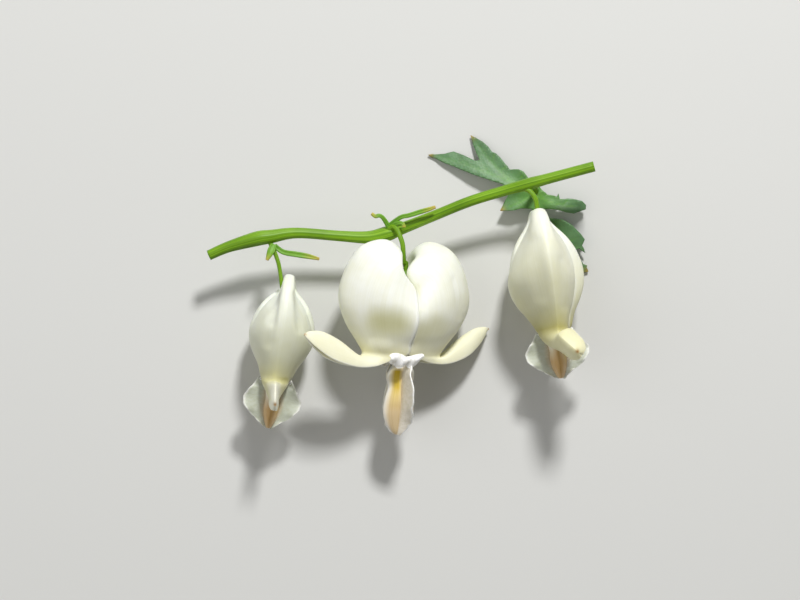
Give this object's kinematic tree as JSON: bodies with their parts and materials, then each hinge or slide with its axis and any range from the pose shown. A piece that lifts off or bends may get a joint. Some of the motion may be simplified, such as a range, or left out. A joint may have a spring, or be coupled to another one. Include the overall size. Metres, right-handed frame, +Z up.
{
  "type": "bleeding heart flower stem",
  "caption": "Arching cut flower stem laid down, with pouched heart-shaped white flowers on short stalks and one lobed leaf behind it.",
  "frame": {"origin": "middle of the bounding box in plan, on the surface that the stem lies on", "axes": "+X along the stem from its left cut end to its right, +Y across the surface to the stem's upper side, away from the hanging flowers, +Z up from the surface, towards the camera"},
  "size_m": [0.0584, 0.0454, 0.0192],
  "materials": {
    "outer_petals": "waxy satin white petal with fine long veins, cream at the turned-back tips",
    "inner_petals": "thin translucent white wings over a tan-pink body with a yellow patch",
    "stamens": "soft cream filaments",
    "stem": "smooth ribbed yellow-green stem, slightly glossy",
    "leaf": "matt blue-green leaf, brighter along its veins"
  },
  "bodies": {
    "root": {"stem": "stem", "leaf": "leaf", "left_outer_petal_a": "outer_petals", "left_outer_petal_b": "outer_petals", "left_inner_petals": "inner_petals", "left_stamens": "stamens", "middle_outer_petal_a": "outer_petals", "middle_outer_petal_b": "outer_petals", "middle_inner_petals": "inner_petals", "middle_stamens": "stamens", "right_outer_petal_a": "outer_petals", "right_outer_petal_b": "outer_petals", "right_inner_petals": "inner_petals", "right_stamens": "stamens"}
  },
  "joints": []
}
